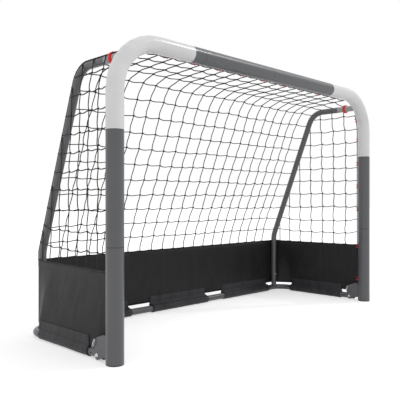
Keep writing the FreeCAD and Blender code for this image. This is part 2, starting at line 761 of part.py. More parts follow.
def bend_net():
    """The part of the net that turns over the stanchions' bend, straight from row to row."""
    last_row, steps, flat, arc, tangent = bend_rows()
    foot, along, length = slope_frame()
    mesh = val("mesh")
    width = val("cord_width")
    depth = val("cord_depth")
    knee = foot + along * length
    hub = knee - Vector(0, tangent, val("net_radius"))
    slope_turn = math.degrees(math.atan2(along.z, along.y))
    points = [foot + along * (last_row * mesh + width / 2)]
    normals = [Vector(0, along.z, -along.y)]
    for step in range(1, steps + 1):
        past = (last_row + step) * mesh - flat
        angle = math.radians(slope_turn - 90) + min(max(past, 0), arc) / val("net_radius")
        out = Vector(0, math.cos(angle), math.sin(angle))
        on_arc = hub + out * val("net_radius")
        points.append(on_arc + along * min(past, 0) - Vector(0, max(past - arc, 0), 0))
        normals.append(out)
    points.append(points[-1] - Vector(0, width / 2, 0))
    normals.append(normals[-1])
    outer = [point + out * depth / 2 for point, out in zip(points, normals)]
    inner = [point - out * depth / 2 for point, out in zip(points, normals)]
    band = Part.Face(Part.makePolygon(inner + outer[::-1] + inner[:1]))
    places = column_places()
    columns = []
    for x in places:
        column = band.extrude(Vector(width, 0, 0))
        column.translate(Vector(x - width / 2, 0, 0))
        columns.append(column)
    rows = []
    for point, out in list(zip(points, normals))[1:-1]:
        row = Part.makeBox(places[-1] - places[0], width, depth, Vector(places[0], -width / 2, -depth / 2))
        row.Placement = Placement(point, Rotation(Vector(1, 0, 0), math.degrees(math.atan2(out.z, out.y)) + 90))
        rows.append(row)
    net = columns[0].fuse(columns[1:] + rows).removeSplitter()
    return feature_of("bend_net", net, Placement(Vector(0, val("post_y"), 0), Rotation()))


def top_net():
    """The level top, from the bend to the clips under the crossbar."""
    last_row, steps, flat, arc, tangent = bend_rows()
    level = steps * val("mesh") - (flat + arc - last_row * val("mesh"))
    back = val("net_knee_y") - tangent - level
    turn = math.radians(val("crossbar_clip_turn"))
    reach = val("post_r") + val("clip_base") + val("clip_fork") / 2
    front = Vector(0, reach * math.cos(turn), val("crossbar_z") - reach * math.sin(turn))
    rear = Vector(0, back, val("spigot_z") + val("net_offset"))
    run = rear - front
    length = run.Length - val("cord_width") - val("net_gap")
    rows = [length - row for row in reversed(stations(0, val("mesh"), length))]
    panel = holed_panel(column_places(), rows)
    at = Placement(front + Vector(0, val("post_y"), 0),
                   Rotation(Vector(1, 0, 0), math.degrees(math.atan2(run.z, run.y))))
    return feature_of("top_net", panel, at)


def side_net():
    """The side panel in the plane from the post to the outside of the stanchion."""
    width = val("cord_width") / 2
    depth = val("cord_depth")
    run = val("side_run")
    low = val("skirt_top_z") + val("net_gap")
    top = val("side_net_top_z")
    knee_run = val("stanchion_knee_y") - val("edge_y")
    foot_z = val("spigot_z") - val("knee_drop")
    outline = [Vector(0, low, 0), Vector(run, low, 0), Vector(run, foot_z, 0),
               Vector(knee_run + (val("spigot_z") - top) * math.tan(math.radians(val("stanchion_lean"))), top, 0),
               Vector(0, top, 0)]
    sheet_face = Part.Face(Part.makePolygon(outline + outline[:1]))
    inside = sheet_face.makeOffset2D(-2 * width)
    columns = stations(0, val("mesh"), run + val("mesh"))
    rows = stations(low, val("side_mesh_z"), top + val("side_mesh_z"))
    gaps = []
    for left, right in zip(columns, columns[1:]):
        for bottom, high in zip(rows, rows[1:]):
            gap = Part.makePlane(right - left - 2 * width, high - bottom - 2 * width,
                                 Vector(left + width, bottom + width, 0))
            cut = gap.common(inside)
            gaps += [face.OuterWire for face in cut.Faces if face.Area > 60]
    net = Part.makeFace([Part.makePolygon(outline + outline[:1])] + gaps, "Part::FaceMakerBullseye")
    net.translate(Vector(0, 0, -depth / 2))
    solid = net.extrude(Vector(0, 0, depth))
    stand = Rotation(Vector(0, 1, 0), Vector(0, 0, 1), Vector(1, 0, 0), "XYZ")
    lean = Rotation(Vector(0, 0, 1), -val("side_tilt"))
    at = Placement(Vector(-val("post_x"), val("post_y") + val("edge_y"), 0), lean.multiply(stand))
    return feature_of("left_net", solid, at)


# Cloth skirts and rail sleeves

def waved_edges(length, waves, fold, shift):
    """A line of shallow arcs along +X that bulge to either side in turn."""
    step = length / waves
    edges = []
    for i in range(waves):
        rise = fold if i % 2 else -fold
        edges.append(Part.Arc(Vector(i * step, shift, 0), Vector((i + 0.5) * step, shift + rise, 0),
                              Vector((i + 1) * step, shift, 0)).toShape())
    return edges


def closed_face(first, second):
    """A face between two open chains of edges that run the same way."""
    caps = [Part.LineSegment(first[i].valueAt(first[i].FirstParameter if i == 0 else first[i].LastParameter),
                             second[i].valueAt(second[i].FirstParameter if i == 0 else second[i].LastParameter)
                             ).toShape() for i in (0, -1)]
    return Part.Face(Part.Wire(Part.__sortEdges__(first + second + caps)))


def side_skirt():
    """The side cloth: shallow folds along the side, then a wrap round the leg."""
    half = val("skirt_wall") / 2
    run = val("side_run")
    flat = 24
    folds = []
    wrap = math.radians(90 - val("side_tilt"))
    for shift in (-half, half):
        start = Part.LineSegment(Vector(0, shift, 0), Vector(flat, shift, 0)).toShape()
        waves = waved_edges(run - 2 * flat, 6, val("skirt_fold"), shift)
        for edge in waves:
            edge.translate(Vector(flat, 0, 0))
        last = Part.LineSegment(Vector(run - flat, shift, 0), Vector(run, shift, 0)).toShape()
        radius = val("wrap_r") - shift
        hub = Vector(run, val("wrap_r"), 0)
        turn = [hub + Vector(math.sin(a), -math.cos(a), 0) * radius for a in (0, wrap / 2, wrap)]
        folds.append([start] + waves + [last, Part.Arc(*turn).toShape()])
    face = closed_face(*folds)
    solid = face.extrude(Vector(0, 0, val("skirt_top_z") - val("skirt_hem_z")))
    notch_run = (val("notch_y") - val("edge_y")) / math.cos(math.radians(val("side_tilt")))
    notch = Part.makeBox(notch_run + 1, 20, val("notch_top_z") - val("skirt_hem_z") + 1, Vector(-1, -10, -1))
    solid = solid.cut(notch)
    lean = Rotation(Vector(0, 0, 1), 90 - val("side_tilt"))
    flip = Placement(Vector(-val("post_x"), val("post_y") + val("edge_y"), val("skirt_hem_z")), lean)
    return feature_of("left_skirt", solid, flip)


def back_skirt():
    """The back cloth between the legs."""
    half = val("skirt_wall") / 2
    length = 2 * (val("leg_x") - val("net_gap"))
    face = closed_face(waved_edges(length, 14, val("skirt_fold"), -half),
                       waved_edges(length, 14, val("skirt_fold"), half))
    solid = face.extrude(Vector(0, 0, val("skirt_top_z") - val("skirt_hem_z")))
    at = Vector(-length / 2, val("post_y") + val("leg_y") + val("wrap_r"), val("skirt_hem_z"))
    return feature_of("back_skirt", solid, Placement(at, Rotation()))


def flap_section(place, rail, skirt_face):
    """Four corners of the flap from the outside of the sleeve up to the skirt, at one place."""
    outer = val("sleeve_wall") + val("rail_r") + val("sleeve_play")
    wall = val("flap_wall")
    top = Vector(skirt_face + wall / 2 + val("net_gap"), val("flap_top_z"), 0)
    hub = Vector(rail, val("rail_z"), 0)
    away = top - hub
    half = math.asin((outer - wall / 2) / away.Length)
    heading = math.atan2(away.y, away.x) + half
    side = Vector(math.sin(heading), -math.cos(heading), 0)
    foot = hub + side * (outer - wall / 2)
    corners = [foot - side * wall / 2, foot + side * wall / 2, top + side * wall / 2, top - side * wall / 2]
    return [Vector(point.x, place, point.y) for point in corners]


def side_sleeve():
    """The sleeve that holds the skirt to the side rail, its flap rising to the outside of the skirt."""
    start = val("side_sleeve_start_y")
    end = val("side_sleeve_end_y")
    sections = []
    for place in (start, end):
        lean = math.tan(math.radians(val("side_tilt"))) * (place - val("edge_y"))
        face = val("post_x") - lean + val("skirt_wall") / 2 + val("skirt_fold")
        points = flap_section(place, val("post_x"), face)
        sections.append(Part.makePolygon(points + points[:1]))
    flap = Part.makeLoft(sections, True, True)
    hub = Vector(val("post_x"), start, val("rail_z"))
    bore = val("rail_r") + val("sleeve_play")
    outside = Part.makeCylinder(bore + val("sleeve_wall"), end - start, hub, Vector(0, 1, 0))
    inside = Part.makeCylinder(bore, end - start, hub, Vector(0, 1, 0))
    sleeve = outside.fuse(flap).cut(inside).removeSplitter()
    return feature_of("right_rail_sleeve", sleeve, Placement(Vector(0, val("post_y"), 0), Rotation()))


def back_sleeve(label, left, right):
    skirt_face = val("leg_y") + val("wrap_r") + val("skirt_wall") / 2 + val("skirt_fold")
    points = flap_section(0, val("base_depth"), skirt_face)
    turned = [Vector(left, point.x, point.z) for point in points]
    flap = Part.Face(Part.makePolygon(turned + turned[:1])).extrude(Vector(right - left, 0, 0))
    hub = Vector(left, val("base_depth"), val("rail_z"))
    bore = val("rail_r") + val("sleeve_play")
    outside = Part.makeCylinder(bore + val("sleeve_wall"), right - left, hub, Vector(1, 0, 0))
    inside = Part.makeCylinder(bore, right - left, hub, Vector(1, 0, 0))
    sleeve = outside.fuse(flap).cut(inside).removeSplitter()
    return feature_of(label, sleeve, Placement(Vector(0, val("post_y"), 0), Rotation()))


def build():
    """Make every piece and return them by node name."""
    nodes = {}

    def keep(item):
        nodes[item.Label] = item
        return item

    def keep_pair(item):
        keep(item)
        keep(mirrored(item.Label.replace("left_", "right_"), item))

    keep_pair(foot_cap())
    keep_pair(tube("left_lower_post", "post_r", "post_bore", "lower_seam_z - cap_rim",
                   "-post_x", "post_y", "cap_rim"))
    keep_pair(tube("left_post_joiner", "joiner_r", "joiner_r - joiner_wall", "joiner_reach * 2",
                   "-post_x", "post_y", "lower_seam_z - joiner_reach"))
    keep_pair(tube("left_upper_post", "post_r", "post_bore", "upper_seam_z - lower_seam_z",
                   "-post_x", "post_y", "lower_seam_z"))
    keep_pair(elbow())
    keep_pair(tube("left_crossbar", "post_r", "post_bore", "crossbar_seam_x",
                   "-crossbar_seam_x", "post_y", "crossbar_z", ALONG_X))
    keep(tube("crossbar_joiner", "joiner_r", "joiner_r - joiner_wall", "joiner_reach * 2",
              "-joiner_reach", "post_y", "crossbar_z", ALONG_X))
    keep_pair(spigot())
    keep_pair(tube("left_spigot_ring", "rail_r + ring_rise", "rail_r + tube_play", "ring_width",
                   "-leg_x", "post_y + ring_place", "spigot_z", ALONG_Y))
    keep(post_clips())
    keep(crossbar_clips())
    keep_pair(hinge_bracket())
    for side, x in (("left", "-post_x"), ("right", "post_x")):
        keep(hinge_bolt(side, x))
        keep(hinge_nut(side, x))
        keep(lock_pin(side, x))
    keep(pin_clip("left", -val("post_x")))
    keep(pin_clip("right", val("post_x")))
    keep_pair(rail_bushes())
    keep_pair(side_rail())
    keep_pair(corner())
    keep_pair(tube("left_back_rail", "rail_r", "rail_bore", "corner_seam_x - back_seam_x",
                   "-corner_seam_x", "back_y", "rail_z", ALONG_X))
    keep(tube("middle_back_rail", "rail_r", "rail_bore", "back_seam_x * 2",
              "-back_seam_x", "back_y", "rail_z", ALONG_X))
    keep_pair(stanchion())
    keep_pair(snap_button())
    keep_pair(leaf_spring())
    keep(back_net())
    keep(bend_net())
    keep(top_net())
    keep_pair(side_net())
    keep_pair(side_skirt())
    keep(back_skirt())
    right_sleeve = keep(side_sleeve())
    keep(mirrored("left_rail_sleeve", right_sleeve))
    keep(back_sleeve("left_back_sleeve", -val("outer_sleeve_outer_x"), -val("outer_sleeve_inner_x")))
    keep(back_sleeve("middle_back_sleeve", -val("middle_sleeve_x"), val("middle_sleeve_x")))
    keep(back_sleeve("right_back_sleeve", val("outer_sleeve_inner_x"), val("outer_sleeve_outer_x")))
    return nodes


def check(nodes):
    """Stop on any failed object or unusable shape."""
    doc.recompute()
    for item in doc.Objects:
        if "Invalid" in item.State or "Error" in item.State:
            raise RuntimeError(item.Label + " has failed: " + ", ".join(item.State))
    for label, item in nodes.items():
        if item.Shape.isNull() or not item.Shape.isValid() or not item.Shape.Solids:
            raise RuntimeError(label + " has no sound shape")


pieces = build()
check(pieces)
os.makedirs("parts", exist_ok=True)
for label, item in pieces.items():
    item.Shape.exportStep("parts/%s.step" % label)
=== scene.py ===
import json
import math

import bpy
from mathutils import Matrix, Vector, noise


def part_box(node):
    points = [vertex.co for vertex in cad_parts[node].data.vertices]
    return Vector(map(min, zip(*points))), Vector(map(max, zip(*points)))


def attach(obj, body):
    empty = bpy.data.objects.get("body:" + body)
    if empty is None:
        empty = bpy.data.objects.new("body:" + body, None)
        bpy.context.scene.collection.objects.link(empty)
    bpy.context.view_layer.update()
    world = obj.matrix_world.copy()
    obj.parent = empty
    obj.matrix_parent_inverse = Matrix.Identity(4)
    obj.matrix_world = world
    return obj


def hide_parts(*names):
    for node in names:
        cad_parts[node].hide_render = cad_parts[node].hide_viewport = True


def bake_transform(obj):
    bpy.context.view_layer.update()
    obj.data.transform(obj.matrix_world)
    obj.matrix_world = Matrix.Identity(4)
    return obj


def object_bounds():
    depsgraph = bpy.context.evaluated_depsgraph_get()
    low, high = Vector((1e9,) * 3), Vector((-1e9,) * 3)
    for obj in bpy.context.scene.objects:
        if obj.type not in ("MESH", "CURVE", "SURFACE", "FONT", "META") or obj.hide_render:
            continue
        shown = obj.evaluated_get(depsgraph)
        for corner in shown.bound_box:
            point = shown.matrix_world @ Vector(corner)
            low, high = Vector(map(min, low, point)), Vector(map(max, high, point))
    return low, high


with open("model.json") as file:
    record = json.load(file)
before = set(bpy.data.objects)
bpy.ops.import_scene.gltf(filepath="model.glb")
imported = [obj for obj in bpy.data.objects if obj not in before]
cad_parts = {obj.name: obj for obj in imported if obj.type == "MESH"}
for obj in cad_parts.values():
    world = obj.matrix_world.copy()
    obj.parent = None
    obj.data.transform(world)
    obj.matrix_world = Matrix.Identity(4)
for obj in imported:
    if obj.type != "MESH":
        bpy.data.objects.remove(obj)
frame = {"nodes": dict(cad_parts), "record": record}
cad_low, cad_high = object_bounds()

# Sizes in metres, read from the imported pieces
post_low, post_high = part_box("left_lower_post")
POST_RADIUS = (post_high.x - post_low.x) / 2
POST_X = -(post_low.x + post_high.x) / 2
POST_Y = (post_low.y + post_high.y) / 2
POST_SEAMS = (post_high.z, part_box("left_upper_post")[1].z)
CROSSBAR_Z = cad_high.z - POST_RADIUS
CROSSBAR_SEAM_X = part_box("right_elbow")[0].x
leg_low, leg_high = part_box("left_stanchion")
RAIL_RADIUS = (leg_high.x - leg_low.x) / 2
LEG_X = -(leg_low.x + leg_high.x) / 2
LEG_Y = leg_high.y - RAIL_RADIUS
SPIGOT_Z = leg_high.z - RAIL_RADIUS
rail_low, rail_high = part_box("middle_back_rail")
RAIL_Y = (rail_low.y + rail_high.y) / 2
RAIL_Z = (rail_low.z + rail_high.z) / 2
skirt_low, skirt_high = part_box("left_skirt")
SKIRT_TOP = skirt_high.z
SKIRT_HEM = skirt_low.z
SKIRT_EDGE_Y = skirt_low.y
sleeve_low, sleeve_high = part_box("right_rail_sleeve")

# Bends of the tubes, with the values of the part's source
ELBOW_RADIUS = 0.192
ELBOW_X = POST_X - ELBOW_RADIUS
ELBOW_Z = CROSSBAR_Z - ELBOW_RADIUS
STANCHION_LEAN = math.radians(21.5)
KNEE_Y = POST_Y + 0.303
KNEE_RADIUS = 0.095

# The photograph's camera, the lamp with the way to it, the floor, and the light from all round
CAMERA_AT = (-2.024, POST_Y - 1.575, 0.572)
CAMERA_TURN = math.radians(-45)
CAMERA_LENS = 50
SUN_FROM = (0.67, -0.37, 0.64)
SUN_ENERGY = 0.45
SUN_SPREAD = math.radians(3)
FLOOR_HALF = 30
FLOOR_GLOW = 0.5
WORLD_LIGHT = 0.75
WORLD_SEEN = 1.0


# Materials

# The painted shade at the tubes' joints, dark lines that stand in for the shade in the gaps: half their
# width, how far from a tube's middle they reach, and their colour
SEAM = 0.0011
SEAM_ZONE = 0.05
JOINT_SHADE = (0.008, 0.008, 0.009, 1)

# The cloth: its threads, its creases beside them, its stitches with half their width and length, and
# half the width of the painted shade line along a fold
THREAD = 0.0009
WAVE_BANDS = 3.1
CREASE_SHARE = 3.0
STITCH = 0.0045
STITCH_REACH = 0.0004
STITCH_SHARE = 0.35
FOLD_SHADE_REACH = 0.0016

# The stretch of a noise that is used, and the places of the Mix node's colour sockets
TONE_LOW, TONE_HIGH = 0.3, 0.7
MIX_FACTOR, MIX_FIRST, MIX_SECOND, MIX_RESULT = 0, 6, 7, 2
EDGE_ANGLE = math.radians(30)


def new_material(name):
    made = bpy.data.materials.new(name)
    made.use_nodes = True
    tree = made.node_tree
    return made, tree, tree.nodes["Principled BSDF"]


def add_node(tree, kind, **settings):
    """A new node. A setting goes to the socket of its name or, if there is none, to the node."""
    node = tree.nodes.new(kind)
    for key, value in settings.items():
        if key in node.inputs:
            node.inputs[key].default_value = value
        else:
            setattr(node, key, value)
    return node


def shaded(colour, factor, lift=0.0):
    """A colour made darker or lighter, with its alpha."""
    return [channel * factor + lift for channel in colour] + [1]


def object_noise(tree, scale, detail=3.0, stretch=(1, 1, 1)):
    """Noise in the object's own metres, stretched along its axes."""
    place = add_node(tree, "ShaderNodeTexCoord")
    scaled = add_node(tree, "ShaderNodeMapping")
    scaled.inputs["Scale"].default_value = stretch
    tree.links.new(place.outputs["Object"], scaled.inputs["Vector"])
    made = add_node(tree, "ShaderNodeTexNoise", Scale=scale, Detail=detail)
    tree.links.new(scaled.outputs["Vector"], made.inputs["Vector"])
    return made.outputs["Fac"]


def between(tree, source, low, high, start=TONE_LOW, end=TONE_HIGH):
    """Spread a texture's value over a range."""
    made = add_node(tree, "ShaderNodeMapRange")
    made.inputs["From Min"].default_value = start
    made.inputs["From Max"].default_value = end
    made.inputs["To Min"].default_value = low
    made.inputs["To Max"].default_value = high
    tree.links.new(source, made.inputs["Value"])
    return made.outputs["Result"]


def tinted(tree, source, colour, spread):
    """A colour that a texture makes a little darker and lighter."""
    ramp = add_node(tree, "ShaderNodeValToRGB")
    factors = (1 - spread, 1 + spread)
    for stop, place, factor in zip(ramp.color_ramp.elements, (TONE_LOW, TONE_HIGH), factors):
        stop.position = place
        stop.color = shaded(colour, factor)
    tree.links.new(source, ramp.inputs["Fac"])
    return ramp.outputs["Color"]


def colour_where(tree, factor, base, other):
    """The base colour, and another fixed one where the factor is 1."""
    made = add_node(tree, "ShaderNodeMix", data_type="RGBA")
    tree.links.new(factor, made.inputs[MIX_FACTOR])
    tree.links.new(base, made.inputs[MIX_FIRST])
    made.inputs[MIX_SECOND].default_value = other
    return made.outputs[MIX_RESULT]


def bump(tree, shader, source, distance, strength):
    made = add_node(tree, "ShaderNodeBump")
    made.inputs["Distance"].default_value = distance
    made.inputs["Strength"].default_value = strength
    tree.links.new(source, made.inputs["Height"])
    tree.links.new(made.outputs["Normal"], shader.inputs["Normal"])


def near(tree, value, place, reach):
    """1 where a value is within reach of a place."""
    made = add_node(tree, "ShaderNodeMath", operation="COMPARE")
    tree.links.new(value, made.inputs[0])
    made.inputs[1].default_value = place
    made.inputs[2].default_value = reach
    return made.outputs[0]


def near_any(tree, value, places, reach):
    """1 where a value is within reach of one of several places."""
    found = near(tree, value, places[0], reach)
    for place in places[1:]:
        found = joined(tree, "MAXIMUM", found, near(tree, value, place, reach))
    return found


def joined(tree, operation, first, second):
    """Two values put together by one Math node."""
    made = add_node(tree, "ShaderNodeMath", operation=operation)
    tree.links.new(first, made.inputs[0])
    tree.links.new(second, made.inputs[1])
    return made.outputs[0]


def seam_shade_lines(tree):
    """Painted shade in the gaps at the joints of the posts and the crossbar, in the object's own metres.
    """
    place = add_node(tree, "ShaderNodeTexCoord")
    axes = add_node(tree, "ShaderNodeSeparateXYZ")
    tree.links.new(place.outputs["Object"], axes.inputs[0])
    x, y, z = axes.outputs
    on_post = near_any(tree, z, POST_SEAMS, SEAM)
    on_bar = near_any(tree, x, (-CROSSBAR_SEAM_X, 0, CROSSBAR_SEAM_X), SEAM)
    on_bar = joined(tree, "MULTIPLY", on_bar, near(tree, z, CROSSBAR_Z, SEAM_ZONE))
    lines = joined(tree, "MAXIMUM", on_post, on_bar)
    return joined(tree, "MULTIPLY", lines, near(tree, y, POST_Y, SEAM_ZONE))


def coated_steel(name, colour, rough):
    """Powder coat: a fine orange peel, slight changes of tone and gloss, and painted shade in the joints.
    """
    made, tree, shader = new_material(name)
    cloud = object_noise(tree, scale=14)
    peel = object_noise(tree, scale=900, detail=2)
    # The joints' near-black lines are painted shade, laid over the coat's colour.
    coat = colour_where(tree, seam_shade_lines(tree), tinted(tree, cloud, colour, spread=0.035), JOINT_SHADE)
    gloss = between(tree, cloud, low=rough - 0.04, high=rough + 0.05)
    tree.links.new(coat, shader.inputs["Base Color"])
    tree.links.new(gloss, shader.inputs["Roughness"])
    shader.inputs["Coat Weight"].default_value = 0.15
    shader.inputs["Coat Roughness"].default_value = 0.12
    bump(tree, shader, peel, distance=0.00012, strength=0.3)
    return made


def bright_steel(name, colour, rough):
    """Zinc-plated steel with a faint spangle and fine turning lines."""
    made, tree, shader = new_material(name)
    grain = object_noise(tree, scale=260, stretch=(1, 1, 5))
    gloss = between(tree, grain, low=rough - 0.08, high=rough + 0.1)
    tree.links.new(tinted(tree, grain, colour, spread=0.08), shader.inputs["Base Color"])
    tree.links.new(gloss, shader.inputs["Roughness"])
    shader.inputs["Metallic"].default_value = 1
    bump(tree, shader, grain, distance=0.0001, strength=0.3)
    return made


def moulded_plastic(name, colour, rough):
    """Moulded plastic with a fine spark-eroded grain."""
    made, tree, shader = new_material(name)
    grain = object_noise(tree, scale=1400, detail=2)
    cloud = object_noise(tree, scale=30)
    gloss = between(tree, grain, low=rough - 0.06, high=rough + 0.06)
    tree.links.new(tinted(tree, cloud, colour, spread=0.06), shader.inputs["Base Color"])
    tree.links.new(gloss, shader.inputs["Roughness"])
    bump(tree, shader, grain, distance=0.00008, strength=0.5)
    return made


def crossed_threads(tree, cloth):
    """A plain weave in the cloth's own metres."""
    crossed = []
    for direction in ("X", "Y"):
        wave = add_node(tree, "ShaderNodeTexWave", wave_type="BANDS", bands_direction=direction,
                        wave_profile="SIN", Scale=1 / THREAD / WAVE_BANDS, Distortion=0.4)
        tree.links.new(cloth, wave.inputs["Vector"])
        crossed.append(wave.outputs["Fac"])
    return joined(tree, "MULTIPLY", *crossed)


def stitch_rows(tree, along, across, rows):
    """1 on the stitches of each row."""
    count = add_node(tree, "ShaderNodeMath", operation="MULTIPLY")
    tree.links.new(along, count.inputs[0])
    count.inputs[1].default_value = 1 / STITCH
    pitch = add_node(tree, "ShaderNodeMath", operation="FRACT")
    tree.links.new(count.outputs[0], pitch.inputs[0])
    on_stitch = near(tree, pitch.outputs[0], STITCH_SHARE, STITCH_SHARE)
    return joined(tree, "MULTIPLY", near_any(tree, across, rows, STITCH_REACH), on_stitch)


def woven_cloth(name, colour, rough, stitched, folded=()):
    """Coated plain weave: slight creases with painted shading, rows of stitches, painted shade at folds.
    """
    made, tree, shader = new_material(name)
    place = add_node(tree, "ShaderNodeTexCoord")
    axes = add_node(tree, "ShaderNodeSeparateXYZ")
    tree.links.new(place.outputs["UV"], axes.inputs[0])
    along, across = axes.outputs[0], axes.outputs[1]
    weave = crossed_threads(tree, place.outputs["UV"])
    stitches = stitch_rows(tree, along, across, stitched)
    crease = object_noise(tree, scale=34, detail=5, stretch=(1, 1, 0.22))
    height = add_node(tree, "ShaderNodeMath", operation="MULTIPLY_ADD")
    tree.links.new(crease, height.inputs[0])
    height.inputs[1].default_value = CREASE_SHARE
    tree.links.new(joined(tree, "ADD", weave, stitches), height.inputs[2])
    # The crease noise makes the colour darker and lighter along the creases: painted shading.
    shade = tinted(tree, crease, colour, spread=0.34)
    shade = colour_where(tree, stitches, shade, shaded(colour, factor=2.5, lift=0.01))
    # A dark line along each fold row is painted shade.
    for row in folded:
        fold_shade_mask = near(tree, across, row, FOLD_SHADE_REACH)
        shade = colour_where(tree, fold_shade_mask, shade, shaded(colour, factor=0.35))
    gloss = between(tree, weave, low=rough + 0.08, high=rough - 0.06, start=0, end=1)
    tree.links.new(shade, shader.inputs["Base Color"])
    tree.links.new(gloss, shader.inputs["Roughness"])
    shader.inputs["Specular IOR Level"].default_value = 0.3
    bump(tree, shader, height.outputs[0], distance=0.0004, strength=0.6)
    return made


def cord_material(name, colour):
    """Braided cord: fine slanting strands."""
    made, tree, shader = new_material(name)
    strands = object_noise(tree, scale=700, detail=2, stretch=(1, 1, 0.4))
    gloss = between(tree, strands, low=0.55, high=0.8)
    tree.links.new(tinted(tree, strands, colour, spread=0.25), shader.inputs["Base Color"])
    tree.links.new(gloss, shader.inputs["Roughness"])
    bump(tree, shader, strands, distance=0.0004, strength=0.6)
    return made


# The top of the sleeves' flaps and the fold below it. Stitches are placed by their height on a skirt,
# and by their distance down from a flap's top on a sleeve.
FLAP_TOP = 0.079
FOLD_Z = 0.044
FOLD_ROW = FLAP_TOP - FOLD_Z
SKIRT_STITCHES = (SKIRT_TOP - 0.012, SKIRT_TOP - 0.003, FLAP_TOP - 0.004)
SLEEVE_STITCHES = (0.004, FOLD_ROW - 0.003)

MATERIALS = {
    "grey_steel": coated_steel("grey_coat", (0.106, 0.108, 0.117), rough=0.34),
    "white_steel": coated_steel("white_coat", (0.8, 0.8, 0.8), rough=0.3),
    "spigot_grey": coated_steel("light_grey_coat", (0.42, 0.42, 0.43), rough=0.36),
    "bright_steel": bright_steel("zinc", (0.66, 0.66, 0.68), rough=0.3),
    "black_plastic": moulded_plastic("black_moulding", (0.02, 0.02, 0.022), rough=0.45),
    "red_plastic": moulded_plastic("red_moulding", (0.88, 0.022, 0.014), rough=0.32),
    "nylon": moulded_plastic("nylon_moulding", (0.6, 0.58, 0.53), rough=0.4),
    "skirt_cloth": woven_cloth("black_cloth", (0.009, 0.009, 0.0105), rough=0.45,
                               stitched=SKIRT_STITCHES),
    # The sleeves' cloth has a painted shade line along its fold.
    "sleeve_cloth": woven_cloth("grey_cloth", (0.036, 0.036, 0.04), rough=0.45,
                                stitched=SLEEVE_STITCHES, folded=(FOLD_ROW,)),
    "net_cord": cord_material("black_cord", (0.006, 0.006, 0.007)),
}
SLOT_OF = {row["node"]: row["material_slot"] for row in frame["record"]["subparts"]}


def dress_cad_nodes():
    """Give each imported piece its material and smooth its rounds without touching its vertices."""
    for name, node in frame["nodes"].items():
        node.data.materials.clear()
        node.data.materials.append(MATERIALS[SLOT_OF[name]])
        for face in node.data.polygons:
            face.use_smooth = True
        split = node.modifiers.new("edges", "EDGE_SPLIT")
        split.split_angle = EDGE_ANGLE


# Soft pieces

CLOTH = 0.0011

# Even stops are left out within this share of a step from an exact one, and stops have so many digits
CROWDED = 0.3
DIGITS = 6

# A tube's sides are turned from the z axis, or from the y axis where it rises more than this
STEEP = 0.8


def new_piece(name, vertices, faces, slot, uvs=None):
    """A mesh in the frame's metres, smooth, with its cloth coordinates."""
    mesh = bpy.data.meshes.new(name)
    mesh.from_pydata(vertices, [], faces)
    mesh.update()
    mesh.shade_smooth()
    piece = bpy.data.objects.new(name, mesh)
    bpy.context.scene.collection.objects.link(piece)
    mesh.materials.append(MATERIALS[slot])
    if uvs:
        layer = mesh.uv_layers.new(name="cloth")
        for loop in mesh.loops:
            layer.data[loop.index].uv = uvs[loop.vertex_index]
    return piece


def thicken(piece):
    """Give a sheet the cloth's thickness in its own mesh."""
    solid = piece.modifiers.new("thickness", "SOLIDIFY")
    solid.thickness = CLOTH
    solid.offset = 0.0
    solid.use_even_offset = True
    graph = bpy.context.evaluated_depsgraph_get()
    thick = bpy.data.meshes.new_from_object(piece.evaluated_get(graph), depsgraph=graph)
    piece.modifiers.clear()
    piece.data = thick


def grid_faces(wide, high):
    """The faces between neighbouring corners of a grid, row by row."""
    corners = [row * wide + column for row in range(high - 1) for column in range(wide - 1)]
    return [(corner, corner + 1, corner + wide + 1, corner + wide) for corner in corners]


def grid_piece(name, columns, rows, place, slot, lowest=None):
    """A sheet over columns u and rows v, in metres of cloth, with each corner placed by place(u, v).

    lowest(u) gives a lower edge of the sheet's own, towards which its rows crowd."""
    def level(u, v):
        if not lowest:
            return v
        share = (v - rows[0]) / (rows[-1] - rows[0])
        return lowest(u) + (rows[-1] - lowest(u)) * share

    uvs = [(u, level(u, v)) for v in rows for u in columns]
    vertices = [place(u, v) for u, v in uvs]
    return new_piece(name, vertices, grid_faces(len(columns), len(rows)), slot, uvs)


def spread(start, end, step, also=()):
    """Even stops from start to end, with some exact ones added in place of those beside them."""
    count = max(1, round((end - start) / step))
    stops = {round(start + (end - start) * i / count, DIGITS) for i in range(count + 1)}
    beside = {stop for stop in stops for extra in also if abs(stop - extra) < step * CROWDED}
    return sorted((stops - beside) | {round(stop, DIGITS) for stop in (*also, start, end)})


def tube_along(points, radius, sides, vertices, faces):
    """Add a round tube through points to lists of vertices and faces."""
    first = len(vertices)
    for i, point in enumerate(points):
        ahead = points[min(i + 1, len(points) - 1)] - points[max(i - 1, 0)]
        ahead.normalize()
        across = ahead.cross(Vector((0, 0, 1)) if abs(ahead.z) < STEEP else Vector((0, 1, 0))).normalized()
        up = across.cross(ahead)
        for side in range(sides):
            turn = 2 * math.pi * side / sides
            vertices.append(point + (across * math.cos(turn) + up * math.sin(turn)) * radius)
    for i in range(len(points) - 1):
        for side in range(sides):
            a = first + i * sides + side
            b = first + i * sides + (side + 1) % sides
            faces.append((a, b, b + sides, a + sides))
    for start in (first, first + (len(points) - 1) * sides):
        ring = list(range(start, start + sides))
        faces.append(ring[::-1] if start == first else ring)


# The net

MESH = 0.075
SIDE_MESH_Z = 0.0735
SIDE_ROWS = 11
SIDE_COLUMNS = 7
SIDE_SAG = (0.0, 0.01, 0.013, 0.004)

# Shares of a mesh: the last one of the back net, and the one beside a stanchion, are not shorter
SHORT_MESH = 0.3
SIDE_SHORT_MESH = 0.12

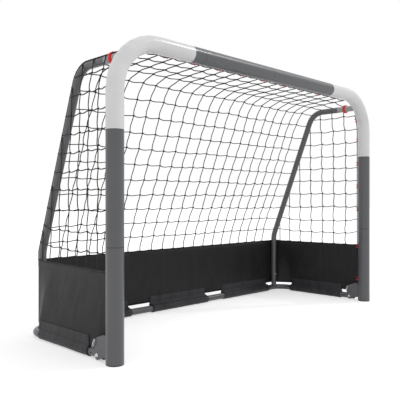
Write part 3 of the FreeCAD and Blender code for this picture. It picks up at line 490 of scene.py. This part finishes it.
# The cords: how far their slack bows and sways, and what makes each of them its own
CORD_RADIUS = 0.0022
CORD_SIDES = 6
CORD_STEPS = 6
CORD_GAP = 0.0003
CORD_SWING = 0.45
CORD_SWAY = 0.003
CORD_SEED = 0.37
SIDE_SEED = 500
SWAY_PLACES = ((0.3, 1.7), (5.1, 0.2), (2.6, 8.8))
BACK_ROW_BOW = Vector((0, 0, -0.0032))
BACK_COLUMN_BOW = Vector((-0.0034, 0, 0))
SIDE_ROW_BOW = Vector((0, 0, -0.0034))
SIDE_COLUMN_BOW = Vector((0, 0.0036, 0))

# The knots: their form, how far they shift, and the share of a shift out of the net that is taken back
KNOT_RADIUS = 0.0044
KNOT_LENGTH = 1.5
KNOT_RINGS = 4
KNOT_SIDES = 6
KNOT_SHIFT = 0.007
SHIFT_SCALE = 9.0
SHIFT_IN_PLANE = 0.7
SHIFT_PLACES = ((0, 0, 0), (7, 3, 1), (1, 9, 4))

# The ropes lie along the outside of the stanchions, turned to the side, and the cords hook onto them
ROPE_RADIUS = 0.0023
ROPE_SIDES = 8
ROPE_STEP = 0.012
EDGE_ROPE_STEP = 0.02
EDGE_ROPE_PAST = 0.004
ROPE_TAIL = 0.03
ROPE_SHORT = 0.006
ROPE_TURN = math.radians(35)
ROPE_OUT = (RAIL_RADIUS + ROPE_RADIUS) * math.cos(ROPE_TURN)
ROPE_SIDE = (RAIL_RADIUS + ROPE_RADIUS) * math.sin(ROPE_TURN)
HOOK_TURNS = (0, 25, 52)
HOOK_FROM_Y = KNEE_Y - 0.28

# The net's distance from the stanchions' middle and, at the clips, from that of the posts and crossbar
NET_OFFSET = RAIL_RADIUS + 0.0015
CLIP_REACH = POST_RADIUS + 0.0085
CROSSBAR_CLIP_TURN = math.radians(32)
NET_EDGE_Y = POST_Y + CLIP_REACH

# How steeply the top of the net falls to the elbows, and the steps that find a place on the stanchion
DROP_POWER = 1.5
AXIS_Y, AXIS_Z = 1, 2
HALVINGS = 40


def net_profile():
    """The net's line in the YZ plane: the slope's foot and direction, and the bend over the stanchions."""
    lean = STANCHION_LEAN
    turn = math.pi / 2 - lean
    foot = Vector((0, LEG_Y + NET_OFFSET, 0))
    knee = Vector((0, KNEE_Y + NET_OFFSET * math.tan(turn / 2), SPIGOT_Z + NET_OFFSET))
    foot.z = knee.z - (foot.y - knee.y) / math.tan(lean)
    up_slope = (knee - foot).normalized()
    radius = KNEE_RADIUS + NET_OFFSET
    tangent = radius * math.tan(turn / 2)
    bend_start = knee - up_slope * tangent
    bend_end = knee - Vector((0, tangent, 0))
    hub = bend_end - Vector((0, 0, radius))
    return foot, up_slope, bend_start, bend_end, hub, radius, turn


FOOT, UP_SLOPE, BEND_START, BEND_END, BEND_HUB, BEND_RADIUS, BEND_TURN = net_profile()
SLOPE_LENGTH = (BEND_START - FOOT).length
BEND_LENGTH = BEND_RADIUS * BEND_TURN
LEVEL_START = SLOPE_LENGTH + BEND_LENGTH
NET_FRONT = Vector((0, POST_Y + CLIP_REACH * math.cos(CROSSBAR_CLIP_TURN),
                    CROSSBAR_Z - CLIP_REACH * math.sin(CROSSBAR_CLIP_TURN)))
LEVEL_LENGTH = (NET_FRONT - BEND_END).length
NET_LENGTH = LEVEL_START + LEVEL_LENGTH
SKIRT_RUN = SKIRT_TOP - FOOT.z


def on_profile(run):
    """A point of the net's line, and the way outwards there, at a distance up from the slope's foot."""
    if run < 0:
        return Vector((0, FOOT.y, FOOT.z + run)), Vector((0, 1, 0))
    if run < SLOPE_LENGTH:
        return FOOT + UP_SLOPE * run, Vector((0, UP_SLOPE.z, -UP_SLOPE.y))
    if run < LEVEL_START:
        angle = math.pi / 2 - BEND_TURN + (run - SLOPE_LENGTH) / BEND_RADIUS
        out = Vector((0, math.cos(angle), math.sin(angle)))
        return BEND_HUB + out * BEND_RADIUS, out
    share = (run - LEVEL_START) / LEVEL_LENGTH
    return BEND_END.lerp(NET_FRONT, share), Vector((0, 0, 1))


def knot_at(point, across, up, vertices, faces):
    """A small rounded knot: a squashed ball, longer across than up."""
    first = len(vertices)
    last = first + (KNOT_RINGS - 2) * KNOT_SIDES
    out = across.cross(up).normalized()
    for ring in range(1, KNOT_RINGS):
        reach = math.cos(math.pi * ring / KNOT_RINGS)
        width = math.sin(math.pi * ring / KNOT_RINGS)
        for side in range(KNOT_SIDES):
            turn = 2 * math.pi * side / KNOT_SIDES
            offset = across * reach * KNOT_LENGTH + (up * math.cos(turn) + out * math.sin(turn)) * width
            vertices.append(point + offset * KNOT_RADIUS)
    for ring in range(KNOT_RINGS - 2):
        for side in range(KNOT_SIDES):
            a = first + ring * KNOT_SIDES + side
            b = first + ring * KNOT_SIDES + (side + 1) % KNOT_SIDES
            faces.append((a, a + KNOT_SIDES, b + KNOT_SIDES, b))
    for tip, start in ((1, first), (-1, last)):
        vertices.append(point + across * tip * KNOT_LENGTH * KNOT_RADIUS)
        end = len(vertices) - 1
        for side in range(KNOT_SIDES):
            a = start + side
            b = start + (side + 1) % KNOT_SIDES
            faces.append((end, a, b)[::tip])


def cord_between(a, b, bow, vertices, faces, number):
    """A cord from knot to knot: its slack bows one way and turns up into the next knot."""
    seed = number * CORD_SEED
    sway = Vector([noise.noise(Vector((seed, *place))) for place in SWAY_PLACES])
    points = []
    for step in range(CORD_STEPS + 1):
        share = step / CORD_STEPS
        lift = 4 * share * (1 - share)
        swing = CORD_SWING * math.sin(2 * math.pi * share)
        points.append(a.lerp(b, share) + bow * (lift + swing) + sway * CORD_SWAY * lift)
    tube_along(points, CORD_RADIUS, CORD_SIDES, vertices, faces)


def stanchion_at(value, axis):
    """The stanchion's middle line where its y or z has a value, with the way outwards there."""
    low, high = SKIRT_RUN, NET_LENGTH
    rising = 1 if axis == AXIS_Z else -1
    for _ in range(HALVINGS):
        run = (low + high) / 2
        point, out = on_profile(run)
        if ((point - out * NET_OFFSET)[axis] - value) * rising < 0:
            low = run
        else:
            high = run
    middle = point - out * NET_OFFSET
    middle.z = min(middle.z, SPIGOT_Z)
    return middle, out


def onto_rope(start, centre, out, side, vertices, faces):
    """A cord from a knot round the outside of the stanchion to the rope along it."""
    reach = RAIL_RADIUS + CORD_RADIUS + CORD_GAP
    sideways = Vector((side, 0, 0))
    middle = centre + Vector((side * LEG_X, 0, 0))
    beside = middle + sideways * reach
    points = [start, start.lerp(beside, 0.5)]
    for degrees in HOOK_TURNS:
        turn = math.radians(degrees)
        points.append(middle + (sideways * math.cos(turn) + out * math.sin(turn)) * reach)
    tube_along(points, CORD_RADIUS, CORD_SIDES, vertices, faces)


def shaken(point, out, held):
    """A knot moved by the net's slack, mostly in the net's own plane, unless an edge holds it."""
    if held:
        return point
    where = point * SHIFT_SCALE
    drift = Vector([noise.noise(where + Vector(place)) for place in SHIFT_PLACES])
    drift -= out * drift.dot(out) * SHIFT_IN_PLANE
    return point + drift * KNOT_SHIFT


def net_columns():
    inner = [MESH * (n + 0.5) for n in range(int(LEG_X / MESH))]
    return [-x for x in reversed(inner)] + inner


def net_rows():
    """The back net's rows up its line: whole meshes above the skirt, and the edge at the crossbar."""
    rows = [SKIRT_RUN + MESH * n for n in range(int((NET_LENGTH - SKIRT_RUN) / MESH) + 1)]
    if NET_LENGTH - rows[-1] < MESH * SHORT_MESH:
        rows.pop()
    return rows + [NET_LENGTH]


def front_drop(x):
    """How far the elbow is below the crossbar at a place along the net's front edge."""
    past = max(0.0, abs(x) - ELBOW_X)
    return ELBOW_RADIUS - math.sqrt(max(0.0, ELBOW_RADIUS ** 2 - past ** 2))


def net_point(x, run):
    """A point of the back net: its front edge follows the elbows down."""
    point, out = on_profile(run)
    share = max(0.0, (run - LEVEL_START) / LEVEL_LENGTH)
    return Vector((x, point.y, point.z - front_drop(x) * share ** DROP_POWER)), out


def rope_point(side, run):
    """A point of the rope along the outside of a stanchion, level once past its bend."""
    point, out = on_profile(run)
    if run > LEVEL_START:
        point.z = BEND_END.z
    return Vector((side * (LEG_X + ROPE_SIDE), point.y, point.z)) - out * (NET_OFFSET - ROPE_OUT)


def back_net():
    """The slope, the turn over the stanchions and the level top, as one net between two ropes."""
    columns = net_columns()
    rows = net_rows()
    vertices, faces = [], []
    knots = []
    for run in rows:
        held = run in (rows[0], rows[-1])
        line = [shaken(*net_point(x, run), held) for x in columns]
        out = on_profile(run)[1]
        if not held:
            for at in line:
                knot_at(at, Vector((1, 0, 0)), Vector((0, out.z, -out.y)), vertices, faces)
        if run < rows[-1]:
            line = [rope_point(-1, run)] + line + [rope_point(1, run)]
        else:
            line = line[:1] + line + line[-1:]
        knots.append(line)
    number = 0
    for row, line in enumerate(knots):
        for left, right in zip(line, line[1:]):
            number += 1
            if (right - left).length > CORD_RADIUS:
                cord_between(left, right, BACK_ROW_BOW, vertices, faces, number)
        if row + 1 < len(knots):
            for low, high in list(zip(line, knots[row + 1]))[1:-1]:
                number += 1
                cord_between(low, high, BACK_COLUMN_BOW, vertices, faces, number)
    stops = spread(SKIRT_RUN - ROPE_TAIL, NET_LENGTH - ROPE_SHORT, ROPE_STEP)
    for side in (-1, 1):
        tube_along([rope_point(side, stop) for stop in stops], ROPE_RADIUS, ROPE_SIDES, vertices, faces)
    return new_piece("net_back", vertices, faces, "net_cord")


def elbow_x(z):
    """How far the post and its elbow stand from the goal's middle at a height."""
    rise = min(max(0.0, z - ELBOW_Z), ELBOW_RADIUS)
    return ELBOW_X + math.sqrt(ELBOW_RADIUS ** 2 - rise ** 2)


def side_net_point(side, y, z):
    """A point of the side net, which runs straight from the post's clips to the stanchion."""
    centre = stanchion_at(z, AXIS_Z)[0]
    share = (y - NET_EDGE_Y) / (centre.y - NET_EDGE_Y)
    x = elbow_x(z) + (LEG_X + NET_OFFSET - elbow_x(z)) * min(share, 1.0)
    return Vector((side * x, y, z))


def side_net(side):
    """The net from the post to the rope on the stanchion: side is -1 for the left and 1 for the right."""
    rows = [SKIRT_TOP + SIDE_MESH_Z * n for n in range(SIDE_ROWS)]
    places = [SKIRT_EDGE_Y + MESH * n for n in range(1, SIDE_COLUMNS + 1)]
    vertices, faces = [], []
    lines = []
    number = SIDE_SEED * (side + 2)
    outwards = Vector((side, 0, 0))
    for row, z in enumerate(rows):
        centre, out = stanchion_at(z, AXIS_Z)
        sag = SIDE_SAG[row] if row < len(SIDE_SAG) else 0.0
        line = [side_net_point(side, NET_EDGE_Y, z)]
        for y in places:
            if y < centre.y - RAIL_RADIUS - MESH * SIDE_SHORT_MESH:
                at = side_net_point(side, y, z)
                at.z -= sag
                line.append(shaken(at, outwards, held=row == 0))
        lines.append(line)
        for a, b in zip(line, line[1:]):
            number += 1
            cord_between(b, a, SIDE_ROW_BOW, vertices, faces, number)
        onto_rope(line[-1], centre, out, side, vertices, faces)
        if row:
            for at in line[1:]:
                knot_at(at, Vector((0, 1, 0)), Vector((0, 0, 1)), vertices, faces)
    for line, upper in zip(lines, lines[1:] + [[]]):
        for i, a in enumerate(line):
            number += 1
            if 0 < i < len(upper):
                cord_between(a, upper[i], SIDE_COLUMN_BOW, vertices, faces, number)
            elif i:
                centre, out = stanchion_at(max(a.y, HOOK_FROM_Y), AXIS_Y)
                onto_rope(a, centre, out, side, vertices, faces)
    heights = spread(rows[0], rows[-1] + EDGE_ROPE_PAST, EDGE_ROPE_STEP)
    edge = [side_net_point(side, NET_EDGE_Y, z) for z in heights]
    tube_along(edge, ROPE_RADIUS, ROPE_SIDES, vertices, faces)
    return new_piece("net_left" if side < 0 else "net_right", vertices, faces, "net_cord")


def make_nets():
    back = back_net()
    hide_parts("back_net", "bend_net", "top_net")
    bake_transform(back)
    for side, node in ((-1, "left_net"), (1, "right_net")):
        net = side_net(side)
        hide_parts(node)
        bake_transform(net)


# The skirts

# The cloth's distance from the stanchions' middle, the line on which it meets the sleeves, and its hems
SKIRT_WRAP = RAIL_RADIUS + 0.0012
BACK_CLOTH_Y = LEG_Y + SKIRT_WRAP
FLAP_X = POST_X + 0.0072
HEM_WIDTH = 0.014
HEM_DEPTH = 0.0007
HEM_EDGE = 0.0006
HEM_EASE = 0.02
SLACK_HEM = RAIL_Z + RAIL_RADIUS + 0.001

# The side skirt's lower edge over the bracket: the distance behind the post's middle, and the height
NOTCH = [(0.0, 0.095), (0.043, 0.095), (0.083, 0.08), (0.095, 0.0715), (0.102, 0.062)]
NOTCH_END = 0.0004

# The steps of the skirts' meshes, and how the sleeve draws a side skirt out below
SKIRT_STEP_Z = 0.012
SIDE_SKIRT_STEP = 0.009
BACK_SKIRT_STEP = 0.011
DRAW_POWER = 1.6
DRAW_START = 0.06

# The waves of a skirt: how far in from its ends and above the sleeves they fade, and their depths
WAVE_START = 0.05
WAVE_END = 0.06
WAVE_BELOW = 0.08
WAVE_RISE = 0.07
FOLD_LENGTH = 0.21
FOLD_WANDER = 0.9
FOLD_WANDER_RATE = 13
FOLD_DEPTH = 0.002
CREASE_DEPTH = 0.0045
PULL_DEPTH = 0.004
SIDE_PHASE = 1.3
BACK_PHASE = 0.4


def side_line():
    """The side skirt's plan: its front edge, the leg, and the straight run's direction and length."""
    front = Vector((POST_X, SKIRT_EDGE_Y))
    leg = Vector((LEG_X, LEG_Y))
    gap = leg - front
    tilt = math.atan2(-gap.x, gap.y) - math.asin(SKIRT_WRAP / gap.length)
    run = math.sqrt(gap.length ** 2 - SKIRT_WRAP ** 2)
    return front, leg, tilt, run


EDGE, LEG, SIDE_TILT, SIDE_RUN = side_line()
WRAP_LENGTH = SKIRT_WRAP * (math.pi / 2 - SIDE_TILT)
SIDE_LENGTH = SIDE_RUN + WRAP_LENGTH
HEM_EDGES = [SKIRT_TOP - HEM_WIDTH - HEM_EDGE, SKIRT_TOP - HEM_WIDTH + HEM_EDGE]
SKIRT_ROWS = spread(SKIRT_HEM, SKIRT_TOP, SKIRT_STEP_Z, also=HEM_EDGES)


def side_point(run):
    """Plan of the right side skirt at a distance from its front edge, with the way outwards."""
    if run <= SIDE_RUN:
        along = Vector((-math.sin(SIDE_TILT), math.cos(SIDE_TILT)))
        return EDGE + along * run, Vector((along.y, -along.x))
    turn = SIDE_TILT + (run - SIDE_RUN) / SKIRT_WRAP
    out = Vector((math.cos(turn), math.sin(turn)))
    return LEG + out * SKIRT_WRAP, out


def smooth(low, high, value):
    """0 below low and 1 above high, with a soft rise between."""
    share = min(1.0, max(0.0, (value - low) / (high - low)))
    return share * share * (3 - 2 * share)


def slanting(run, height, slant, across, up, shift, layer):
    """Noise that is drawn out up the cloth and slants across it."""
    return noise.noise(Vector(((run + height * slant) * across + shift, height * up, layer)))


def cloth_wave(run, height, length, phase):
    """How far the cloth stands off its plane: long soft folds and slanting pulls, fading at the ends."""
    ends = min(1.0, run / WAVE_START, max(0.0, (length - run) / WAVE_END))
    share = min(1.0, (SKIRT_TOP - height) / (SKIRT_TOP - FLAP_TOP))
    wander = FOLD_WANDER * math.sin(run * FOLD_WANDER_RATE + phase)
    fold = math.sin(2 * math.pi * run / FOLD_LENGTH + phase + wander)
    crease = slanting(run, height, slant=0.35, across=30, up=4, shift=phase, layer=phase)
    pull = slanting(run, height, slant=-0.5, across=13, up=7, shift=0, layer=3 + phase)
    hem = HEM_DEPTH if height > SKIRT_TOP - HEM_WIDTH else 0.0
    free = WAVE_BELOW + (1 - WAVE_BELOW) * smooth(FLAP_TOP, FLAP_TOP + WAVE_RISE, height)
    return ends * share * free * (FOLD_DEPTH * fold + CREASE_DEPTH * crease + PULL_DEPTH * pull) + hem


def side_hem(side, run):
    """The side skirt's lower edge: over the bracket, and on the left down to the rail behind it."""
    from_post = run * math.cos(SIDE_TILT) + SKIRT_EDGE_Y - POST_Y
    for (y, z), (next_y, next_z) in zip(NOTCH, NOTCH[1:]):
        if from_post < next_y:
            return z + (next_z - z) * (from_post - y) / (next_y - y)
    slack = SLACK_HEM if side < 0 else SKIRT_HEM
    return slack + (SKIRT_HEM - slack) * smooth(0, HEM_EASE, from_post + POST_Y - sleeve_low.y)


def side_skirt_point(side, run, z):
    """A point of the side cloth, which the sleeve at its foot draws out to the rail's line."""
    point, out = side_point(run)
    point = point + out * cloth_wave(run, z, SIDE_RUN, SIDE_PHASE + side)
    if run < SIDE_RUN:
        drawn = min(1.0, max(0.0, (SKIRT_TOP - z) / (SKIRT_TOP - FLAP_TOP))) ** DRAW_POWER
        drawn *= smooth(0, DRAW_START, run) * (1 - smooth(sleeve_high.y, LEG_Y, point.y))
        point.x += (FLAP_X - point.x) * drawn
    return Vector((side * point.x, point.y, z))


def side_skirt(side):
    """The side cloth from the post to the stanchion: side is -1 for the left and 1 for the right."""
    notch_run = (POST_Y + NOTCH[-1][0] - SKIRT_EDGE_Y) / math.cos(SIDE_TILT)
    columns = spread(0, SIDE_LENGTH, SIDE_SKIRT_STEP, also=[notch_run - NOTCH_END, notch_run])
    name = "skirt_left" if side < 0 else "skirt_right"
    piece = grid_piece(name, columns, SKIRT_ROWS, lambda run, z: side_skirt_point(side, run, z),
                       "skirt_cloth", lambda run: side_hem(side, run))
    thicken(piece)
    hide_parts("left_skirt" if side < 0 else "right_skirt")
    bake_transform(piece)
    strips = zip(columns, columns[1:])
    area = sum((b - a) * (SKIRT_TOP - side_hem(side, (a + b) / 2)) for a, b in strips)


def back_skirt():
    """The back cloth, from stanchion to stanchion."""
    def place(x, z):
        wave = cloth_wave(x + LEG_X, z, 2 * LEG_X, BACK_PHASE)
        return Vector((x, BACK_CLOTH_Y + wave, z))

    columns = spread(-LEG_X, LEG_X, BACK_SKIRT_STEP)
    piece = grid_piece("skirt_back", columns, SKIRT_ROWS, place, "skirt_cloth")
    thicken(piece)
    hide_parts("back_skirt")
    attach(piece, "rear_frame")


# The sleeves

# A sleeve across its rail: round it, then up in two flaps on both sides of the skirt
SLEEVE_RADIUS = 0.0186
FLAP_GAP = 0.0014
FLAP_STEPS = 6
FLAP_TUCK = 0.0009
FLAP_SWELL = 0.5
ROUND_STEPS = 24

# A sleeve along its rail: its steps, the ends where it lies still, its bulges and puckers, its bindings
SLEEVE_STEP = 0.008
SLEEVE_END = 0.02
SLEEVE_SINK = 0.0006
BULGE_DEPTH = 0.0011
BULGE_SCALE = (7, 75)
PUCKER_DEPTH = 0.0007
PUCKER_SCALE = (34, 22)
BINDING = 0.0012
BINDING_SIDES = 8


def sleeve_line(hub, flap):
    """The sleeve's line across the rail: down the outer flap, round the rail and up the inner flap."""
    away = Vector((flap, FOLD_Z)) - hub
    heading = math.atan2(away.y, away.x)
    half = math.asin(SLEEVE_RADIUS / away.length)
    start = heading + half - math.pi / 2
    sweep = 2 * half + math.pi
    down = [FLAP_TOP + (FOLD_Z - FLAP_TOP) * step / FLAP_STEPS for step in range(FLAP_STEPS + 1)]
    line = [Vector((flap + FLAP_GAP, z)) for z in down]
    line[-1].x -= FLAP_TUCK
    for step in range(ROUND_STEPS + 1):
        turn = start - sweep * step / ROUND_STEPS
        line.append(hub + Vector((math.cos(turn), math.sin(turn))) * SLEEVE_RADIUS)
    return line + [Vector((flap - FLAP_GAP, z)) for z in reversed(down)]


def sleeve_swell(stop, length, seed):
    """How far the sleeve stands off its line: bulges along it and puckers at its seams."""
    swell = 0.0
    for depth, (along, across) in ((BULGE_DEPTH, BULGE_SCALE), (PUCKER_DEPTH, PUCKER_SCALE)):
        swell += noise.noise(Vector((stop * along, length * across, seed))) * depth
    return max(-SLEEVE_SINK, swell)


def sleeve(name, start, end, hub, flap, turn_out, node):
    """A sleeve from start to end along its rail, sewn above the rail with both its edges up the skirt."""
    stops = spread(start, end, SLEEVE_STEP)
    line = sleeve_line(hub, flap)
    lengths = [0.0]
    for a, b in zip(line, line[1:]):
        lengths.append(lengths[-1] + (b - a).length)
    vertices, uvs = [], []
    for stop in stops:
        edge = min(1.0, (stop - start) / SLEEVE_END, (end - stop) / SLEEVE_END)
        for i, point in enumerate(line):
            on_round = FLAP_STEPS < i < len(line) - FLAP_STEPS - 1
            reach = edge if on_round else FLAP_SWELL * edge
            outer_flap = i <= FLAP_STEPS
            out = (point - hub).normalized() if on_round else Vector((1 if outer_flap else -1, 0))
            point = point + out * sleeve_swell(stop, lengths[i], len(name)) * reach
            point.y = max(point.y, CLOTH)
            vertices.append(turn_out(stop, point))
            uvs.append((stop, lengths[i]))
    piece = new_piece(name, vertices, grid_faces(len(line), len(stops)), "sleeve_cloth", uvs)
    thicken(piece)
    vertices, faces = [], []
    for stop in (start, end):
        tube_along([turn_out(stop, point) for point in line], BINDING, BINDING_SIDES, vertices, faces)
    binding = new_piece(name + "_binding", vertices, faces, "skirt_cloth")
    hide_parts(node)
    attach(piece, "rear_frame")
    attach(binding, "rear_frame")


def make_sleeves():
    for side, word in ((-1, "left"), (1, "right")):
        sleeve("sleeve_" + word, sleeve_low.y, sleeve_high.y, Vector((POST_X, RAIL_Z)), FLAP_X,
               lambda y, point, side=side: Vector((side * point.x, y, point.y)),
               word + "_rail_sleeve")
    for word in ("left", "middle", "right"):
        low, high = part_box(word + "_back_sleeve")
        sleeve("sleeve_back_" + word, low.x, high.x, Vector((RAIL_Y, RAIL_Z)), BACK_CLOTH_Y,
               lambda x, point: Vector((x, point.x, point.y)),
               word + "_back_sleeve")


# Stage

def make_stage():
    """A white floor that looks lit all over, and still takes the goal's shadow."""
    mesh = bpy.data.meshes.new("floor")
    half = FLOOR_HALF
    corners = [(-half, -half, 0), (half, -half, 0), (half, half, 0), (-half, half, 0)]
    mesh.from_pydata(corners, [], [(0, 1, 2, 3)])
    floor = bpy.data.objects.new("floor", mesh)
    bpy.context.scene.collection.objects.link(floor)
    made, tree, shader = new_material("floor_white")
    shader.inputs["Base Color"].default_value = (0.8, 0.8, 0.8, 1)
    shader.inputs["Roughness"].default_value = 0.9
    shader.inputs["Specular IOR Level"].default_value = 0.0
    glow = add_node(tree, "ShaderNodeMath", operation="MULTIPLY")
    glow.inputs[1].default_value = FLOOR_GLOW
    tree.links.new(seen_directly(tree), glow.inputs[0])
    shader.inputs["Emission Color"].default_value = (1, 1, 1, 1)
    tree.links.new(glow.outputs[0], shader.inputs["Emission Strength"])
    mesh.materials.append(made)


def seen_directly(tree):
    """1 where the camera, a reflection or glass sees the surface, otherwise 0."""
    path = add_node(tree, "ShaderNodeLightPath")
    total = path.outputs["Is Camera Ray"]
    for name in ("Is Glossy Ray", "Is Transmission Ray"):
        total = joined(tree, "MAXIMUM", total, path.outputs[name])
    return total


def make_world():
    """Plain white light from all round, seen as white behind the goal."""
    world = bpy.data.worlds.new("studio")
    bpy.context.scene.world = world
    world.use_nodes = True
    tree = world.node_tree
    background = tree.nodes["Background"]
    background.inputs["Color"].default_value = (1, 1, 1, 1)
    strength = between(tree, seen_directly(tree), low=WORLD_LIGHT, high=WORLD_SEEN, start=0, end=1)
    tree.links.new(strength, background.inputs["Strength"])


def make_sun():
    """A soft lamp to the right and above, whose reflection draws a bright line along the tubes."""
    data = bpy.data.lights.new("sun", "SUN")
    data.energy = SUN_ENERGY
    data.angle = SUN_SPREAD
    lamp = bpy.data.objects.new("sun", data)
    lamp.rotation_euler = Vector(SUN_FROM).to_track_quat("Z", "Y").to_euler()
    bpy.context.scene.collection.objects.link(lamp)


def make_camera():
    data = bpy.data.cameras.new("camera")
    data.lens = CAMERA_LENS
    data.sensor_width = 36
    camera = bpy.data.objects.new("camera", data)
    camera.location = CAMERA_AT
    camera.rotation_euler = (math.pi / 2, 0, CAMERA_TURN)
    bpy.context.scene.collection.objects.link(camera)
    bpy.context.scene.camera = camera


make_camera()
make_world()
make_stage()
make_sun()
dress_cad_nodes()
make_nets()
side_skirt(-1)
side_skirt(1)
back_skirt()
make_sleeves()
bpy.context.scene.view_settings.view_transform = "Standard"
